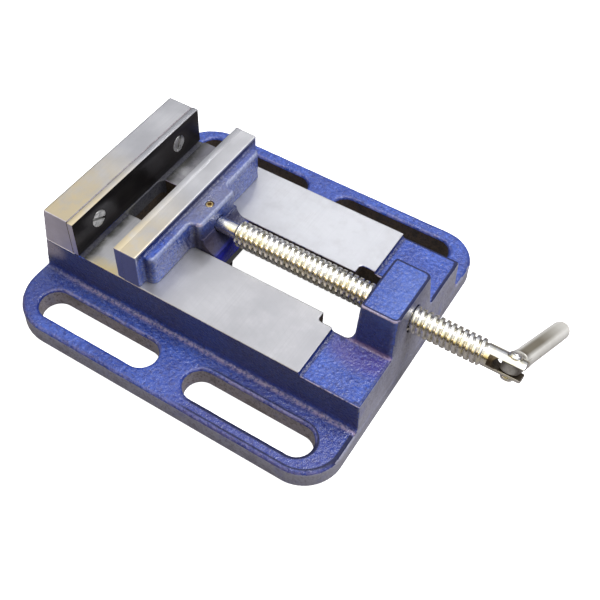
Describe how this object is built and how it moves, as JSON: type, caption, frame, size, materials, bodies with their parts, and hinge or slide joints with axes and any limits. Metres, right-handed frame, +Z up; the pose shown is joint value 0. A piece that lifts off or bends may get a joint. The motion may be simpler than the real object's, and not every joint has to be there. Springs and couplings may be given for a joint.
{
  "type": "machine vise",
  "caption": "Low drill-press vise with a slotted flanged base, plated fixed and sliding jaws, a screw spindle and a folding handle.",
  "frame": {"origin": "centre of the base's underside, which is the centre of the four bolting slots", "axes": "+X from the fixed jaw towards the handle, along the spindle; +Y across the jaws; +Z up"},
  "size_m": [0.2429, 0.168, 0.0536],
  "materials": {
    "blue_enamel": "glossy enamel over rough casting",
    "ground_steel": "ground",
    "blackened_steel": "black oxide",
    "bright_zinc": "bright zinc plate",
    "satin_steel": "satin",
    "plain_steel": "mill finish",
    "yellow_zinc": "yellow passivated"
  },
  "bodies": {
    "base": {"base_casting": "blue_enamel", "fixed_jaw_plate": "blackened_steel", "fixed_jaw_screw_near": "bright_zinc", "fixed_jaw_screw_far": "bright_zinc"},
    "moving_jaw": {"moving_jaw_casting": "blue_enamel", "moving_jaw_plate": "ground_steel", "moving_jaw_screw_near": "bright_zinc", "moving_jaw_screw_far": "bright_zinc", "keep_plate": "plain_steel", "keep_bolt_front": "blackened_steel", "keep_bolt_rear": "blackened_steel", "keep_washer_front": "plain_steel", "keep_washer_rear": "plain_steel", "spindle_retaining_screw": "yellow_zinc"},
    "spindle": {"spindle": "bright_zinc", "handle_pin": "bright_zinc"},
    "handle": {"handle": "satin_steel"}
  },
  "joints": [
    {"name": "jaw_slide", "type": "slide", "parent": "base", "child": "moving_jaw", "axis": [1, 0, 0], "range_m": [-0.0245, 0.0754]},
    {"name": "spindle_turn", "type": "hinge", "parent": "moving_jaw", "child": "spindle", "pos_m": [0.138, 0, 0.0394], "axis": [1, 0, 0], "range_deg": [-2940, 9048]},
    {"name": "handle_fold", "type": "hinge", "parent": "spindle", "child": "handle", "pos_m": [0.138, 0, 0.0394], "axis": [0, 0.503, 0.8643], "range_deg": [-173, 7]}
  ],
  "couplings": [
    {"joint": "spindle_turn", "follows": "jaw_slide", "rad_per_m": 2094.4}
  ]
}
